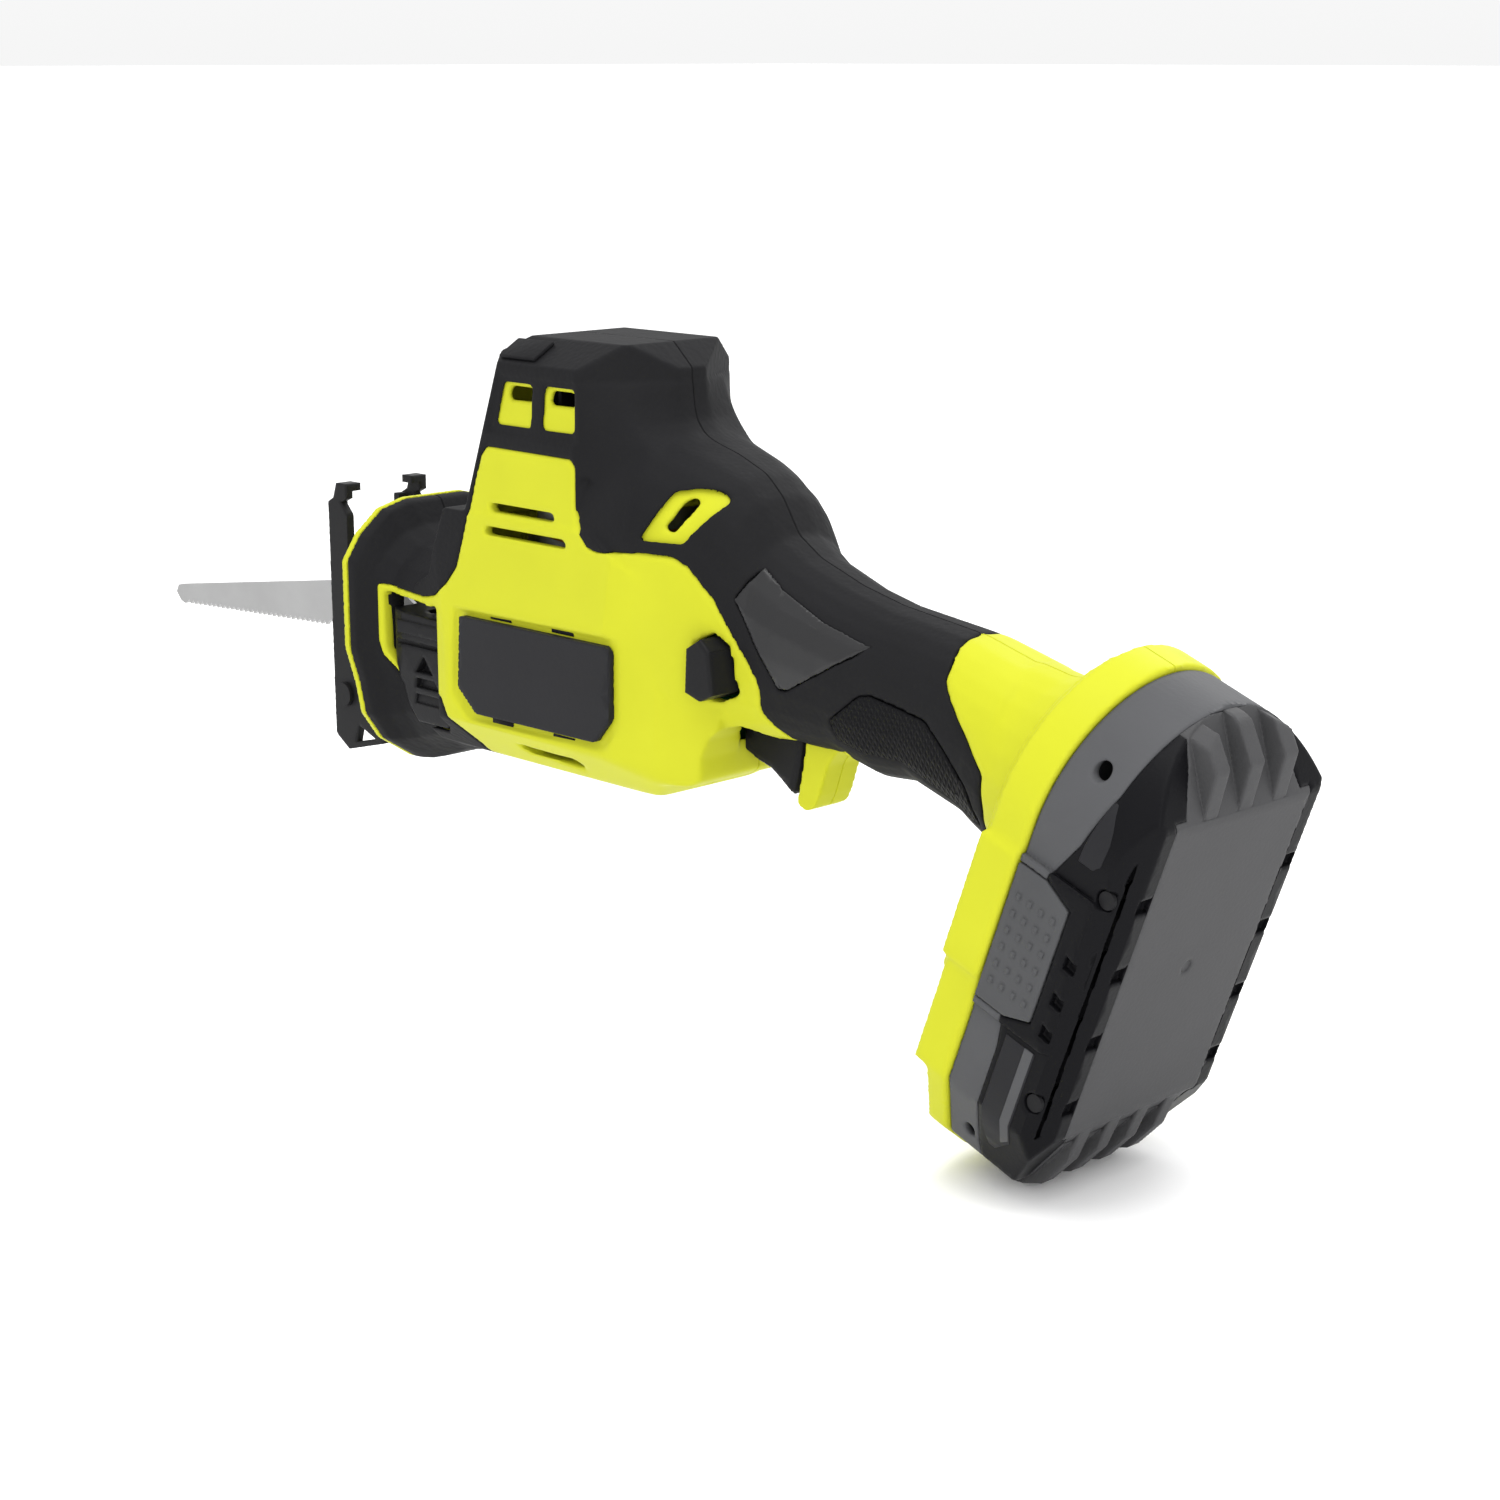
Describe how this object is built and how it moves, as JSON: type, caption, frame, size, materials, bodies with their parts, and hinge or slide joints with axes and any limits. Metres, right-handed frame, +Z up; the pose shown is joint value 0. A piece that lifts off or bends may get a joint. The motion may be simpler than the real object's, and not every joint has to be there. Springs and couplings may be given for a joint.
{
  "type": "cordless reciprocating saw",
  "caption": "Compact one-handed cordless reciprocating saw with a raised motor tower, rubber-covered handle, slide-on battery, tilting forked shoe and a stroking blade.",
  "frame": {"origin": "a point on the stroke axis in the plane of the shoe's front face", "axes": "+X along the stroke, the way the blade points; +Y the saw's left side; +Z up, toward the motor tower"},
  "size_m": [0.4388, 0.0746, 0.193],
  "materials": {
    "lime_plastic": "satin moulded plastic",
    "black_rubber": "fine leather-like grain",
    "smooth_rubber": "smooth, half gloss",
    "grip_rubber": "small raised pattern",
    "label_plastic": "smooth, blank",
    "screw_steel": "dark plated",
    "cast_alloy": "as cast",
    "bronze": "sintered",
    "felt": "felt",
    "core_steel": "laminated",
    "copper_wire": "varnished windings",
    "bright_steel": "ground",
    "black_plastic": "moulded",
    "blade_steel": "satin ground",
    "black_metal": "satin black",
    "clear_lens": "clear lens",
    "board_green": "circuit board",
    "grey_plastic": "fine grained",
    "case_black": "fine grained",
    "base_grey": "fine grained",
    "cell_wrap": "wrapped cells",
    "contact_brass": "plain",
    "latch_grey": "pipped"
  },
  "bodies": {
    "housing": {"left_housing": "lime_plastic", "right_housing": "lime_plastic", "left_overmold": "black_rubber", "right_overmold": "black_rubber", "left_grip_pad": "grip_rubber", "right_grip_pad": "grip_rubber", "left_smooth_panel": "smooth_rubber", "right_smooth_panel": "smooth_rubber", "left_label_plate": "label_plastic", "right_label_plate": "label_plastic", "housing_screws": "screw_steel", "nose_ring": "lime_plastic", "gear_case": "cast_alloy", "gear_case_cover": "cast_alloy", "front_bushing": "bronze", "felt_seal": "felt", "rear_bushing": "bronze", "motor_stator": "core_steel", "motor_windings": "copper_wire", "lower_bearing": "bright_steel", "upper_bearing": "bright_steel", "gear_bearing": "bright_steel", "shoe_pivot_pin": "black_metal", "shoe_bracket": "black_metal", "led_lamp": "clear_lens", "switch_body": "black_plastic", "controller_board": "board_green", "battery_socket": "black_plastic", "lever_spring": "screw_steel"},
    "rotor": {"motor_rotor": "core_steel", "motor_shaft": "bright_steel", "pinion": "bright_steel", "fan": "black_plastic"},
    "crank": {"crank_gear": "bright_steel", "counterweight": "core_steel", "gear_axle": "bright_steel", "crank_pin": "bright_steel"},
    "plunger": {"yoke": "bright_steel", "plunger": "bright_steel", "blade_clamp": "bright_steel", "clamp_ring": "bright_steel", "blade": "blade_steel"},
    "collar": {"clamp_collar": "black_plastic"},
    "lever": {"release_lever": "black_plastic"},
    "shoe": {"shoe": "black_metal"},
    "trigger": {"trigger": "black_plastic"},
    "lock_off": {"lock_off_button": "black_plastic"},
    "battery": {"battery_upper_shell": "grey_plastic", "battery_lower_shell": "case_black", "battery_bottom_cover": "base_grey", "battery_cells": "cell_wrap", "cell_holder": "black_plastic", "battery_board": "board_green", "battery_terminals": "contact_brass", "battery_screws": "black_metal"},
    "left_latch": {"left_latch": "latch_grey"},
    "right_latch": {"right_latch": "latch_grey"}
  },
  "joints": [
    {"name": "crank_spin", "type": "hinge", "parent": "housing", "child": "crank", "pos_m": [-0.091, 0, 0.02], "axis": [0, 0, 1], "continuous": true},
    {"name": "rotor_spin", "type": "hinge", "parent": "housing", "child": "rotor", "pos_m": [-0.115, 0, 0.05], "axis": [0, 0, 1], "continuous": true},
    {"name": "blade_stroke", "type": "slide", "parent": "housing", "child": "plunger", "axis": [1, 0, 0], "range_m": [-0.008, 0.008]},
    {"name": "collar_turn", "type": "hinge", "parent": "plunger", "child": "collar", "pos_m": [-0.04, 0, 0], "axis": [1, 0, 0], "range_deg": [0, 30], "stiffness_Nm_per_rad": 0.2},
    {"name": "lever_lift", "type": "slide", "parent": "housing", "child": "lever", "axis": [0, 0, 1], "range_m": [0, 0.004], "stiffness_N_per_m": 800, "deforming": ["lever_spring"]},
    {"name": "shoe_tilt", "type": "hinge", "parent": "housing", "child": "shoe", "pos_m": [-0.0062, 0, -0.0225], "axis": [0, 1, 0], "range_deg": [-10, 10]},
    {"name": "trigger_pull", "type": "slide", "parent": "housing", "child": "trigger", "axis": [-0.2139, 0, 0.9769], "range_m": [0, 0.005], "stiffness_N_per_m": 1000},
    {"name": "lock_off_slide", "type": "slide", "parent": "housing", "child": "lock_off", "axis": [0, 1, 0], "range_m": [-0.0025, 0.0025]},
    {"name": "battery_slide", "type": "slide", "parent": "housing", "child": "battery", "axis": [-0.9397, 0, -0.342], "range_m": [0, 0.065]},
    {"name": "left_latch_press", "type": "slide", "parent": "battery", "child": "left_latch", "axis": [0, -1, 0], "range_m": [0, 0.0012], "stiffness_N_per_m": 1200},
    {"name": "right_latch_press", "type": "slide", "parent": "battery", "child": "right_latch", "axis": [0, 1, 0], "range_m": [0, 0.0012], "stiffness_N_per_m": 1200}
  ],
  "couplings": [
    {"joint": "rotor_spin", "follows": "crank_spin", "ratio": -3.8}
  ]
}
